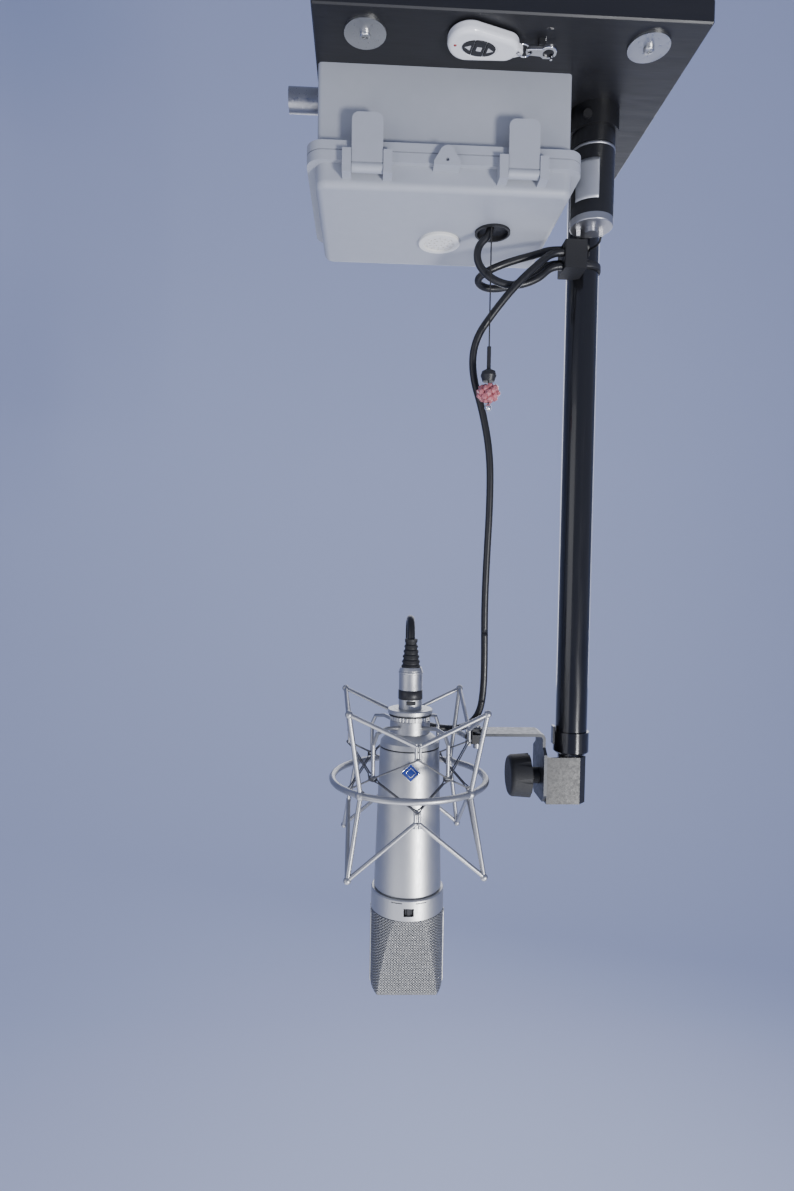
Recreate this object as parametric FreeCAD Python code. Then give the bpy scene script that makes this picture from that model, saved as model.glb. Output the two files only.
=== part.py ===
"""Ceiling-mounted motorised microphone boom, in millimetres.

Origin: centre of the top face of the mounting board, which lies against the ceiling.
+Z is up, +X is to the right and -Y is the front, where the latches and the badge are.
"""
import FreeCAD, Part
import math
import os

V = FreeCAD.Vector
X_AXIS = V(1, 0, 0)
Y_AXIS = V(0, 1, 0)
Z_AXIS = V(0, 0, 1)

os.makedirs("parts", exist_ok=True)

# driving dimensions
BOARD_X, BOARD_Y, BOARD_T = 260.0, 200.0, 16.0
FIX_X, FIX_Y = 95.5, 78.0
WALL = 2.5
BASE = (-128.5, 52.5, -48.5, 58.0, -73.0, -16.0)
RIM = (-136.0, 60.5, -56.2, 72.0, -87.0, -73.6)
LID_BODY = (-129.5, 54.0, -52.0, 72.0, -103.4, -73.6)
LID_FLOOR = -103.4
HINGE_Y, HINGE_Z = 65.0, -68.5
HINGES_X = (-90.0, 15.0)
LATCH_Y, LATCH_Z = -58.5, -93.0
LATCHES_X = (-93.1, 16.2)
HOLE = (6.2, 4.4)
CORD_HOLE = (3.9, -2.0)
PULL = (3.5, -6.5)
VENT = (-34.2, 23.7)
TUBE = (86.0, 28.0)
TUBE_R, TUBE_BORE = 13.0, 11.5
TUBE_END = -520.2
COLLAR_R, COLLAR_BORE = 14.7, 11.3
ROD_R, ROD_BORE = 11.0, 7.0
SCREW_R = 5.0
MOTOR = (81.7, -6.0)
MOTOR_R = 16.5
PIVOT_Y, PIVOT_Z = 28.0, -543.7
SWIVEL = (5.5, 28.5)
CAGE = V(-54.06, -13.9, -532.9)
CAGE_TURN = 2.8
CAGE_HALF_ANGLE = 41.9
CAGE_CORNER_R, CAGE_RING_R = 73.5, 59.7
CAGE_TOP, CAGE_BOTTOM = 60.5, -56.9
RING_TOP, RING_BOTTOM = -618.2, -633.8
GRILLE_BOTTOM = -696.8
MIC = (-54.0, -14.0)
MIC_TURN = -1.0
BASKET_X = (-82.9, -28.1)
BASKET_Y = (-50.4, 22.6)
CABLE_D = 6.0


# ---------------------------------------------------------------- helpers
def box(x0, x1, y0, y1, z0, z1):
    return Part.makeBox(x1 - x0, y1 - y0, z1 - z0, V(x0, y0, z0))


def upright_edges(shape):
    found = []
    for edge in shape.Edges:
        a, b = edge.Vertexes[0].Point, edge.Vertexes[-1].Point
        if abs(a.x - b.x) < 1e-6 and abs(a.y - b.y) < 1e-6:
            found.append(edge)
    return found


def edges_at(shape, z):
    return [e for e in shape.Edges if all(abs(v.Point.z - z) < 1e-6 for v in e.Vertexes)]


def rounded_box(x0, x1, y0, y1, z0, z1, r):
    block = box(x0, x1, y0, y1, z0, z1)
    return block.makeFillet(r, upright_edges(block))


def cylinder(x, y, z0, z1, r):
    return Part.makeCylinder(r, z1 - z0, V(x, y, z0))


def tube(x, y, z0, z1, r_in, r_out):
    return cylinder(x, y, z0, z1, r_out).cut(cylinder(x, y, z0 - 1, z1 + 1, r_in))


def rod(a, b, r):
    return Part.makeCylinder(r, (b - a).Length, a, b - a)


def joined(shapes):
    return shapes[0].fuse(shapes[1:]).removeSplitter()


def turned(x, y, profile):
    points = [V(x + r, y, z) for r, z in profile]
    face = Part.Face(Part.makePolygon(points + [points[0]]))
    return face.revolve(V(x, y, 0), Z_AXIS, 360)


def hull(c1, r1, c2, r2, z0, z1):
    """Plan shape of two circles and their outer tangents."""
    dx, dy = c2[0] - c1[0], c2[1] - c1[1]
    span = math.hypot(dx, dy)
    heading = math.atan2(dy, dx)
    lean = math.acos((r1 - r2) / span)

    def on(c, r, angle):
        return V(c[0] + r * math.cos(angle), c[1] + r * math.sin(angle), z0)

    up, down = heading + lean, heading - lean
    edges = [
        Part.LineSegment(on(c1, r1, up), on(c2, r2, up)).toShape(),
        Part.Arc(on(c2, r2, up), on(c2, r2, heading), on(c2, r2, down)).toShape(),
        Part.LineSegment(on(c2, r2, down), on(c1, r1, down)).toShape(),
        Part.Arc(on(c1, r1, down), on(c1, r1, heading + math.pi), on(c1, r1, up)).toShape(),
    ]
    return Part.Face(Part.Wire(edges)).extrude(V(0, 0, z1 - z0))


def prism(points, push):
    return Part.Face(Part.makePolygon(points + [points[0]])).extrude(push)


def cord(points, diameter, name=""):
    """A round tube along straight runs joined by tangent arcs."""
    pts = [V(*p) for p in points]
    edges = []
    start = pts[0]
    for before, corner, after in zip(pts, pts[1:], pts[2:]):
        into = (corner - before).normalize()
        out = (after - corner).normalize()
        turn = into.getAngle(out)
        run = 0.45 * min((corner - before).Length, (after - corner).Length)
        radius = run / math.tan(turn / 2)
        if name:
            print(name, "radius", round(radius, 1), "turn", round(math.degrees(turn)))
        a, b = corner - into * run, corner + out * run
        middle = (out - into).normalize()
        centre = corner + middle * (radius / math.cos(turn / 2))
        edges.append(Part.LineSegment(start, a).toShape())
        edges.append(Part.Arc(a, centre - middle * radius, b).toShape())
        start = b
    edges.append(Part.LineSegment(start, pts[-1]).toShape())
    path = Part.Wire(edges)
    ring = Part.Wire(Part.makeCircle(diameter / 2, pts[0], pts[1] - pts[0]))
    swept = path.makePipeShell([ring], True, False)
    if name:
        section = math.pi * diameter ** 2 / 4
        print(name, "length", round(path.Length, 1), "volume ratio",
              round(swept.Volume / (section * path.Length), 4))
    return swept


def pan_screw(x, y, z, length, shank_r=2.0, head_r=3.5):
    head = cylinder(x, y, z - 2.4, z, head_r)
    head = head.makeFillet(1.2, edges_at(head, z - 2.4))
    slot = joined([box(x - 2, x + 2, y - 0.4, y + 0.4, z - 2.5, z - 1.3),
                   box(x - 0.4, x + 0.4, y - 2, y + 2, z - 2.5, z - 1.3)])
    return head.cut(slot).fuse(cylinder(x, y, z, z + length, shank_r)).removeSplitter()


def save(shape, name):
    if len(shape.Solids) == 1:
        shape = shape.Solids[0]
    shape.exportStep("parts/%s.step" % name)


def cage_point(radius, angle, z):
    """A point of the outer cage; angle 0 is its front."""
    a = math.radians(angle + CAGE_TURN)
    return V(CAGE.x + radius * math.sin(a), CAGE.y - radius * math.cos(a), CAGE.z + z)


def mic_turned(shape):
    shape.rotate(V(MIC[0], MIC[1], 0), Z_AXIS, MIC_TURN)
    return shape


# ---------------------------------------------------------------- mounting board
corners = [(sx * FIX_X, sy * FIX_Y) for sx in (-1, 1) for sy in (-1, 1)]
base_screws = [(-115.0, -36.0), (39.0, -36.0), (-115.0, 46.0), (39.0, 46.0)]

board = box(-BOARD_X / 2, BOARD_X / 2, -BOARD_Y / 2, BOARD_Y / 2, -BOARD_T, 0)
board = board.makeChamfer(1.0, board.Edges)
for x, y in corners:
    board = board.cut(cylinder(x, y, -20, -0.4, 2.0))
for x, y in base_screws:
    board = board.cut(cylinder(x, y, -20, -5, 2.0))
save(board, "board")

washers = [tube(x, y, -BOARD_T - 1.5, -BOARD_T, 2.5, 14.0) for x, y in corners]
save(Part.makeCompound(washers), "washers")

screws = [pan_screw(x, y, -BOARD_T - 1.5, 17.1) for x, y in corners]
screws += [pan_screw(x, y, -BOARD_T - WALL, 13.5) for x, y in base_screws]
save(Part.makeCompound(screws), "screws")

# ---------------------------------------------------------------- control box base
x0, x1, y0, y1, z0, z1 = BASE
base = rounded_box(x0, x1, y0, y1, z0, z1, 3.0)
base = base.cut(box(x0 + WALL, x1 - WALL, y0 + WALL, y1 - WALL, z0 - 1, z1 - WALL))
posts = [(-104.0, -24.0), (4.0, -24.0), (-104.0, 34.0), (4.0, 34.0)]
for x, y in posts:
    base = base.fuse(cylinder(x, y, -28.4, -18.5, 3.5))
for x in HINGES_X:
    knuckle = Part.makeCylinder(4.0, 12.0, V(x - 6, HINGE_Y, HINGE_Z), X_AXIS)
    web = box(x - 6, x + 6, y1 - 0.5, HINGE_Y, HINGE_Z - 4, HINGE_Z + 4)
    base = base.fuse(knuckle.fuse(web))
for x in LATCHES_X:
    base = base.fuse(box(x - 9, x + 9, -57.9, y0 + 0.5, -65, -60))
base = base.removeSplitter()
for x in HINGES_X:
    base = base.cut(Part.makeCylinder(1.5, 20.0, V(x - 10, HINGE_Y, HINGE_Z), X_AXIS))
for x, y in base_screws:
    base = base.cut(cylinder(x, y, -20, -15, 2.0))
base = base.cut(Part.makeCylinder(6.0, 10.0, V(x0 - 5, -25, -28), X_AXIS))
save(base, "box_base")

pins = [Part.makeCylinder(1.5, 26.0, V(x - 13, HINGE_Y, HINGE_Z), X_AXIS) for x in HINGES_X]
save(Part.makeCompound(pins), "hinge_pins")

fitting = Part.makeCylinder(8.5, 22.5, V(x0 - 22.5, -25, -28), X_AXIS)
fitting = fitting.fuse(Part.makeCylinder(6.0, 12.0, V(x0, -25, -28), X_AXIS))
fitting = fitting.fuse(Part.makeCylinder(8.4, 3.0, V(x0 + WALL, -25, -28), X_AXIS))
fitting = fitting.removeSplitter()
fitting = fitting.cut(Part.makeCylinder(3.6, 60.0, V(x0 - 30, -25, -28), X_AXIS))
save(fitting, "side_fitting")

pcb = [
    box(-111, 11, -31, 41, -30, -28.4),
    rounded_box(-96, -77, -20, -4, -45, -30, 1.0),
    rounded_box(-70, -51, -20, -4, -45, -30, 1.0),
    rounded_box(-96, -46, 8, 35, -52, -30, 1.5),
    rounded_box(-40, -2, -28, -18, -41, -30, 0.8),
    rounded_box(-30, -15, 10, 25, -33, -30, 0.5),
]
save(Part.makeCompound(pcb), "receiver_pcb")

# ---------------------------------------------------------------- lid
x0, x1, y0, y1, z0, z1 = RIM
rim = rounded_box(x0, x1, y0, y1, z0, z1, 12.0)
groove = rounded_box(x0 - 5, x1 + 5, y0 - 5, y1 + 5, -80.4, -79.6, 12.0)
groove = groove.cut(rounded_box(x0 + 0.8, x1 - 0.8, y0 + 0.8, y1 - 0.8, -81, -79, 11.2))
rim = rim.cut(groove)
x0, x1, y0, y1, z0, z1 = LID_BODY
body = rounded_box(x0, x1, y0, y1, z0, z1, 8.0)
body = body.makeFillet(5.0, edges_at(body, z0))
lid = rim.fuse(body).removeSplitter()
lid = lid.cut(rounded_box(-125.5, 50.0, -46.0, 55.5, LID_FLOOR + WALL, -70, 5.0))
lid = lid.cut(cylinder(HOLE[0], HOLE[1], LID_FLOOR - 1, -95, 13.0))
lid = lid.cut(cylinder(VENT[0], VENT[1], LID_FLOOR - 1, -95, 13.0))
for x in HINGES_X:
    for a in (x - 13, x + 6.5):
        ear = Part.makeCylinder(4.0, 6.5, V(a, HINGE_Y, HINGE_Z), X_AXIS)
        ear = ear.fuse(box(a, a + 6.5, HINGE_Y - 4, HINGE_Y + 4, -74.5, HINGE_Z))
        lid = lid.fuse(ear)
Y_FRONT, BOSS_X = -61.5, -37.5
for x in LATCHES_X:
    for a in (x - 17.3, x + 11.1):
        lid = lid.fuse(box(a, a + 6.2, -62.5, y0 + 1, -98, -82))
boss = Part.makeCylinder(5.6, 4.0 + y0 - Y_FRONT, V(BOSS_X, Y_FRONT, -82.7), Y_AXIS)
flare = [V(BOSS_X + dx, Y_FRONT, z) for dx, z in
         ((-5.3, -81), (-9.3, -87.6), (-9.3, -90.3), (9.3, -90.3), (9.3, -87.6), (5.3, -81))]
boss = boss.fuse(prism(flare, V(0, 4.0 + y0 - Y_FRONT, 0)))
lid = lid.fuse(boss).removeSplitter()
for x in HINGES_X:
    lid = lid.cut(Part.makeCylinder(1.6, 40.0, V(x - 20, HINGE_Y, HINGE_Z), X_AXIS))
for x in LATCHES_X:
    lid = lid.cut(Part.makeCylinder(1.6, 33.0, V(x - 16.5, LATCH_Y, LATCH_Z), X_AXIS))
lid = lid.cut(Part.makeCylinder(1.3, 5.0, V(BOSS_X, -64, -86.6), Y_AXIS))
save(lid, "lid")

vent = cylinder(VENT[0], VENT[1], LID_FLOOR - 2.6, LID_FLOOR, 16.75)
vent = vent.makeFillet(1.0, edges_at(vent, LID_FLOOR - 2.6))
vent = vent.cut(cylinder(VENT[0], VENT[1], LID_FLOOR - 3, LID_FLOOR - 1.6, 12.5))
vent = vent.fuse(tube(VENT[0], VENT[1], LID_FLOOR, LID_FLOOR + WALL, 11.0, 13.0))
for ring_r in (4.0, 8.0, 11.0):
    for k in range(6 if ring_r < 5 else 12):
        a = math.radians(k * 360 / (6 if ring_r < 5 else 12))
        x, y = VENT[0] + ring_r * math.cos(a), VENT[1] + ring_r * math.sin(a)
        vent = vent.cut(cylinder(x, y, LID_FLOOR - 3, LID_FLOOR + 3, 0.9))
save(vent, "vent_disc")

grommet = tube(HOLE[0], HOLE[1], LID_FLOOR - 1.8, LID_FLOOR, 12.2, 13.9)
grommet = grommet.fuse(cylinder(HOLE[0], HOLE[1], LID_FLOOR, LID_FLOOR + WALL, 13.0))
grommet = grommet.removeSplitter()
grommet = grommet.cut(cylinder(HOLE[0], HOLE[1], LID_FLOOR - 3, LID_FLOOR + 1.3, 12.2))
grommet = grommet.cut(cylinder(CORD_HOLE[0], CORD_HOLE[1], -110, -90, CABLE_D / 2 + 0.1))
grommet = grommet.cut(cylinder(PULL[0], PULL[1], -110, -90, 0.7))
save(grommet, "grommet")

for x, side in zip(LATCHES_X, ("left", "right")):
    plate = box(x - 10.8, x + 10.8, -61.6, -58.8, -90.6, -57)
    tops = [e for e in plate.Edges
            if abs(e.CenterOfMass.z + 57) < 1e-6 and abs(e.CenterOfMass.y + 60.2) < 1e-6]
    plate = plate.makeFillet(5.0, tops)
    barrel = Part.makeCylinder(3.5, 21.6, V(x - 10.8, LATCH_Y, LATCH_Z), X_AXIS)
    trunnion = Part.makeCylinder(1.5, 32.0, V(x - 16, LATCH_Y, LATCH_Z), X_AXIS)
    save(joined([plate, barrel, trunnion]), "latch_" + side)

# ---------------------------------------------------------------- pull cord
px, py = PULL
save(cylinder(px, py, -214.5, -99.0, 0.55), "pull_cord")

weight = turned(px, py, [(0.0, -196.0), (1.6, -196.5), (1.6, -213.5), (5.2, -215.5),
                         (6.2, -219.0), (4.6, -223.4), (0.0, -223.4)])
weight = weight.cut(cylinder(px, py, -214.5, -190.0, 0.55))
weight = weight.fuse(cylinder(px, py, -241.0, -223.4, 0.5)).removeSplitter()
ball = Part.makeSphere(2.6, V(px, py, -243.5))
save(weight.fuse(ball).removeSplitter(), "cord_weight")

bead = turned(px, py, [(0.6, -224.0), (5.0, -224.0), (10.2, -230.0), (10.2, -234.5),
                       (5.4, -240.6), (0.6, -240.6)])
save(bead, "bead")

# ---------------------------------------------------------------- hand remote
FOB = V(-17.0, -79.5, 0)
FOB_TURN = 8.0
FOB_FACE = -24.6
BUTTONS_X = -3.0
BUTTON_SPAN, BUTTON_RISE = 11.5, 6.8


def on_fob(shape):
    """Puts a shape drawn along the remote's own length in its place."""
    shape.rotate(V(0, 0, 0), Z_AXIS, FOB_TURN)
    shape.translate(FOB)
    return shape


def oval(grow, z0, z1):
    ring = Part.Ellipse(V(BUTTONS_X, 0, z0), BUTTON_SPAN + grow, BUTTON_RISE + grow)
    return Part.Face(Part.Wire([ring.toShape()])).extrude(V(0, 0, z1 - z0))


def button_part(k, gap, z0, z1):
    """The k-th third of the oval, k = -1, 0, 1 from the left."""
    inner, outer = 3.9 + gap, BUTTON_SPAN + 2
    left, right = ((-outer, -inner - 0.2), (-inner + 2 * gap, inner - 2 * gap), (inner + 0.2, outer))[k + 1]
    return oval(-gap, z0, z1).common(box(BUTTONS_X + left, BUTTONS_X + right, -12, 12, z0, z1))


shell = hull((-10.0, 0), 14.2, (14.5, 0), 10.0, FOB_FACE, -17)
shell = shell.makeFillet(3.4, edges_at(shell, FOB_FACE))
shell = shell.makeFillet(1.6, edges_at(shell, -17))
shell = shell.fuse(hull((14.5, 0), 8.0, (24.0, 0), 3.6, -23.4, -19.8)).removeSplitter()
shell = shell.cut(oval(1.3, FOB_FACE - 1, FOB_FACE + 0.3))
for k in (-1, 0, 1):
    shell = shell.cut(button_part(k, 0.0, FOB_FACE - 1, -19.0))
shell = shell.cut(cylinder(24.0, 0, -30, -10, 1.5))
save(on_fob(shell), "fob_shell")

for k, name in zip((-1, 0, 1), ("up", "stop", "down")):
    save(on_fob(button_part(k, 0.25, FOB_FACE - 0.5, -20.0)), "fob_button_" + name)

HOLE_X = FOB.x + 24.0 * math.cos(math.radians(FOB_TURN))
CLASP_Y = FOB.y + 24.0 * math.sin(math.radians(FOB_TURN))
RING_Z, KEY_RING_R = -21.6, 4.2
save(Part.makeTorus(KEY_RING_R, 0.6, V(HOLE_X + KEY_RING_R, CLASP_Y, RING_Z), Y_AXIS), "fob_ring")

EYE_X = HOLE_X + 2 * KEY_RING_R
CLASP = (EYE_X + 12.4, CLASP_Y)
LOOP_IN, LOOP_OUT = 3.8, 5.8
clasp = cylinder(CLASP[0], CLASP[1], RING_Z - 1.3, RING_Z + 1.3, LOOP_OUT)
clasp = clasp.fuse(hull((EYE_X, CLASP_Y), 2.9, (EYE_X + 8.0, CLASP_Y), 3.4, RING_Z - 1.3, RING_Z + 1.3))
clasp = clasp.removeSplitter()
clasp = clasp.makeFillet(0.5, edges_at(clasp, RING_Z - 1.3) + edges_at(clasp, RING_Z + 1.3))
clasp = clasp.cut(cylinder(CLASP[0], CLASP[1], -30, -18, LOOP_IN))
clasp = clasp.cut(cylinder(EYE_X, CLASP_Y, -30, -18, 1.6))


def clasp_arc(a0, a1, r_in, r_out, z0, z1):
    sector = Part.makeCylinder(r_out, z1 - z0, V(CLASP[0], CLASP[1], z0), Z_AXIS, a1 - a0)
    sector.rotate(V(CLASP[0], CLASP[1], 0), Z_AXIS, a0)
    return sector.cut(cylinder(CLASP[0], CLASP[1], z0 - 1, z1 + 1, r_in))


GATE_R, GATE_AT = 4.8, math.radians(115)
LEVER = (CLASP[0] + GATE_R * math.cos(GATE_AT), CLASP[1] + GATE_R * math.sin(GATE_AT))
clasp = clasp.cut(clasp_arc(34, 117, 2.0, 7.5, -30, -18))
clasp = clasp.cut(cylinder(LEVER[0], LEVER[1], -30, -18, 1.5))
# the loop's nose is cut back along the arc that the lever's tip swings through
swing = Part.makeCylinder(6.6, 12.0, V(LEVER[0], LEVER[1], -30), Z_AXIS, 36)
swing.rotate(V(LEVER[0], LEVER[1], 0), Z_AXIS, -31)
clasp = clasp.cut(swing)
save(clasp, "clasp_body")
lever = clasp_arc(40, 115, 4.1, 5.5, RING_Z - 1.0, RING_Z + 1.0)
lever = lever.fuse(cylinder(LEVER[0], LEVER[1], RING_Z - 1.0, RING_Z + 1.0, 1.1)).removeSplitter()
thumb = Part.makeCylinder(0.9, 3.0, V(CLASP[0] + 2.9, CLASP[1] + 4.0, RING_Z - 2.6), Z_AXIS)
save(lever.fuse(thumb).removeSplitter(), "clasp_lever")

pads = [on_fob(rounded_box(-19, 14, -6, 6, -17, -16, 2.0)),
        rounded_box(CLASP[0] - 7.5, CLASP[0] - 2.9, CLASP_Y - 4.5, CLASP_Y + 0.5, RING_Z + 1.3, -16, 1.0)]
save(Part.makeCompound(pads), "fob_pad")

# ---------------------------------------------------------------- drive
tx, ty = TUBE
mx, my = MOTOR
housing = hull(TUBE, 20.0, MOTOR, 19.0, -33, -16)
housing = housing.cut(hull(TUBE, 17.5, MOTOR, 16.5, -31, -18.5))
housing = housing.cut(cylinder(tx, ty, -34, -30, TUBE_R))
housing = housing.cut(cylinder(mx, my, -34, -30, 7.0))
housing = housing.fuse(Part.makeCylinder(3.4, 2.2, V(71.5, -24.2, -26.7), Y_AXIS)).removeSplitter()
save(housing, "gearbox_housing")

MOTOR_END = -97.6
can = cylinder(mx, my, MOTOR_END, -33, MOTOR_R)
for z in (-47.4, -44.8):
    can = can.cut(tube(mx, my, z, z + 0.4, MOTOR_R - 0.5, MOTOR_R + 1))
can = can.fuse(cylinder(mx, my, -33, -31.3, 6.8))
can = can.fuse(cylinder(mx, my, -31.3, -29.5, 2.5)).removeSplitter()
save(can, "motor_can")

CAP_END = MOTOR_END - 5.4
cap = cylinder(mx, my, CAP_END, MOTOR_END, MOTOR_R)
cap = cap.makeFillet(0.8, edges_at(cap, CAP_END))
cap = cap.fuse(cylinder(mx, my, CAP_END - 3.6, CAP_END, 4.6))
for side in (-1, 1):
    cap = cap.fuse(box(mx + side * 9 - 1.6, mx + side * 9 + 1.6, my + 3, my + 3.8, CAP_END - 4.4, CAP_END + 0.1))
save(cap.removeSplitter(), "motor_endcap")

pinion = tube(mx, my, -29.2, -20.2, 2.2, 7.0)
pinion = pinion.cut(cylinder(mx, my, -30, -19, 2.55)).fuse(
    tube(mx, my, -29.2, -28.2, 2.55, 8.2)).fuse(tube(mx, my, -21.2, -20.2, 2.55, 8.2))
save(pinion.removeSplitter(), "motor_pulley")

lead_screw = cylinder(tx, ty, -500, -21, SCREW_R)
lead_screw = lead_screw.fuse(cylinder(tx, ty, -29.2, -20.2, 11.0))
for z in (-29.2, -21.2):
    lead_screw = lead_screw.fuse(cylinder(tx, ty, z, z + 1, 12.2))
save(lead_screw.removeSplitter(), "lead_screw")

outer = tube(tx, ty, TUBE_END, -31, TUBE_BORE, TUBE_R)
save(outer, "outer_tube")

COLLAR_END = TUBE_END - 3.3
collar = turned(tx, ty, [(TUBE_R, TUBE_END), (TUBE_R, TUBE_END + 15.0), (COLLAR_R, TUBE_END + 15.0),
                         (COLLAR_R, COLLAR_END + 1.5), (13.2, COLLAR_END), (COLLAR_BORE, COLLAR_END),
                         (COLLAR_BORE, TUBE_END)])
tab = box(tx - COLLAR_R - 1.5, tx - COLLAR_R + 0.6, ty - 3, ty + 3, TUBE_END + 4, TUBE_END + 19)
tab = tab.cut(cylinder(tx, ty, TUBE_END + 3, TUBE_END + 20, TUBE_R))
save(collar.fuse(tab).removeSplitter(), "collar")

inner = turned(tx, ty, [(0.0, -562.0), (10.0, -562.0), (10.0, -530.0), (ROD_R, -530.0),
                        (ROD_R, -60.0), (9.0, -60.0), (9.0, -66.0), (ROD_BORE, -66.0),
                        (ROD_BORE, -518.0), (0.0, -518.0)])
inner = inner.fuse(Part.makeCylinder(8.0, 16.0, V(64.0, PIVOT_Y, PIVOT_Z), X_AXIS))
inner = inner.removeSplitter()
inner = inner.cut(Part.makeCylinder(4.0, 20.0, V(60, PIVOT_Y, PIVOT_Z), X_AXIS))
save(inner, "inner_rod")
save(tube(tx, ty, -66, -56, SCREW_R + 0.3, 9.0), "drive_nut")

# ---------------------------------------------------------------- yoke, knob, strap
YOKE_Z, YOKE_RISE = -563.9, 39.0
outline = [V(x, y, YOKE_Z) for x, y in ((62, 13), (90, 13), (96.4, 19.4), (95.0, 20.8), (89.2, 15),
                                        (64, 15), (64, 43), (62, 43))]
yoke = prism(outline, V(0, 0, YOKE_RISE))
yoke = yoke.cut(Part.makeCylinder(4.3, 6.0, V(60, PIVOT_Y, PIVOT_Z), X_AXIS))
save(yoke, "yoke")

KNOB_LEFT, KNOB_RIGHT, KNOB_R = 32.7, 50.2, 18.4
knob = Part.makeCone(KNOB_R - 1.2, KNOB_R, KNOB_RIGHT - KNOB_LEFT, V(KNOB_LEFT, PIVOT_Y, PIVOT_Z), X_AXIS)
for k in range(8):
    a = math.radians(k * 45)
    knob = knob.cut(Part.makeCylinder(5.0, 40.0, V(KNOB_LEFT - 5, PIVOT_Y + 22.6 * math.cos(a),
                                                   PIVOT_Z + 22.6 * math.sin(a)), X_AXIS))
front = [e for e in knob.Edges if all(abs(v.Point.x - KNOB_LEFT) < 1e-6 for v in e.Vertexes)]
knob = knob.makeFillet(3.6, front)
knob = knob.fuse(Part.makeCylinder(6.7, 58.6 - KNOB_RIGHT, V(KNOB_RIGHT, PIVOT_Y, PIVOT_Z), X_AXIS))
knob = knob.cut(Part.makeCylinder(4.0, 20.0, V(40, PIVOT_Y, PIVOT_Z), X_AXIS))
save(knob.removeSplitter(), "knob")
stud = Part.makeCylinder(3.9, 38.0, V(40, PIVOT_Y, PIVOT_Z), X_AXIS)
head = Part.makeCylinder(4.0, 12.0, V(40, PIVOT_Y, PIVOT_Z), X_AXIS)
save(stud.fuse(head).removeSplitter(), "knob_stud")

sy0, sy1 = 16.0, 41.0
elbow = [V(9.5, sy0, -505.7), V(57.5, sy0, -505.7), V(60.3, sy0, -506.9), V(61.5, sy0, -509.7),
         V(61.5, sy0, -522), V(59, sy0, -522), V(59, sy0, -510.2), V(58.3, sy0, -508.7),
         V(56.8, sy0, -508.2), V(9.5, sy0, -508.2)]
strap = prism(elbow, V(0, sy1 - sy0, 0))
strap = strap.fuse(hull((11.0, SWIVEL[1]), 4.0 + 1e-6, SWIVEL, 4.0, -508.2, -505.7))
lower = [V(59, y, z) for y, z in ((sy0, -517), (10, -522), (10, -556), (16, -562.5),
                                  (43, -562.5), (49, -556), (49, -522), (sy1, -517))]
strap = strap.fuse(prism(lower, V(2.5, 0, 0))).removeSplitter()
strap = strap.cut(Part.makeCylinder(4.3, 6.0, V(57, PIVOT_Y, PIVOT_Z), X_AXIS))
strap = strap.cut(cylinder(SWIVEL[0], SWIVEL[1], -510, -504, 2.1))
save(strap, "strap")

block = rounded_box(-0.5, 9.0, 22, 35, -516, -503.3, 1.5)
block = block.cut(box(1.2, 10, 20, 37, -508.4, -505.5))
block = block.cut(cylinder(SWIVEL[0], SWIVEL[1], -517, -502, 2.0))
save(block, "swivel_block")
sx, sy = SWIVEL
pivot = cylinder(sx, sy, -516, -503.3, 2.0)
pivot = pivot.fuse(Part.makeCylinder(3.0, 4.6, V(sx, sy, -520.6)))
pivot = pivot.fuse(cylinder(sx, sy, -503.3, -501.6, 3.2)).removeSplitter()
save(pivot, "swivel_screw")

# ---------------------------------------------------------------- outer cage
corner_angles = (-CAGE_HALF_ANGLE, CAGE_HALF_ANGLE, 180 - CAGE_HALF_ANGLE, 180 + CAGE_HALF_ANGLE)
face_angles = (0.0, 90.0, 180.0, 270.0)
face_r = (54.5, 47.0, 54.5, 47.0)
WIRE_R, LEG_R, LEG_GAP = 1.8, 1.15, 1.5
wires = [Part.makeTorus(CAGE_RING_R, 2.5, CAGE)]
for angle in corner_angles:
    top = cage_point(CAGE_CORNER_R, angle, CAGE_TOP)
    mid = cage_point(CAGE_RING_R, angle, 0)
    low = cage_point(CAGE_CORNER_R - 0.5, angle, CAGE_BOTTOM)
    wires += [rod(top, mid, WIRE_R), rod(mid, low, WIRE_R)]
    wires += [Part.makeSphere(2.8, top), Part.makeSphere(3.8, mid), Part.makeSphere(2.8, low)]
hooks = []
for k, angle in enumerate(face_angles):
    left, right = corner_angles[k], corner_angles[(k + 1) % 4]
    # each V of wire ends in a hairpin of two legs that the elastic hangs from
    for level, leg_start, leg_end, apex_z in ((CAGE_TOP, 39.5, 28.0, 37.5), (CAGE_BOTTOM, -21.0, -9.5, -17.5)):
        along = (cage_point(face_r[k], angle + 1, 0) - cage_point(face_r[k], angle - 1, 0)).normalize()
        for side, shift in ((left, -LEG_GAP), (right, LEG_GAP)):
            foot = cage_point(face_r[k], angle, leg_start) + along * shift
            tip = cage_point(face_r[k], angle, leg_end) + along * shift
            apex = cage_point(face_r[k], angle, apex_z) + along * shift
            wires += [rod(cage_point(CAGE_CORNER_R, side, level), apex, 1.6), Part.makeSphere(1.75, apex)]
            wires += [rod(foot, tip, LEG_R), Part.makeSphere(LEG_R + 0.1, tip)]
        bridge = [cage_point(face_r[k], angle, leg_end) + along * shift for shift in (-LEG_GAP, LEG_GAP)]
        wires.append(rod(bridge[0], bridge[1], LEG_R - 0.1))
        hooks.append(cage_point(face_r[k], angle, leg_end))
lug_y = SWIVEL[1]
wires.append(rod(V(-3.0, lug_y, -511), cage_point(67.6, 180 - CAGE_HALF_ANGLE, 24.5), 2.4))
wires.append(box(-3.2, -0.5, lug_y - 6, lug_y + 6, -517.5, -506.5))
save(joined(wires), "outer_cage")

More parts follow.
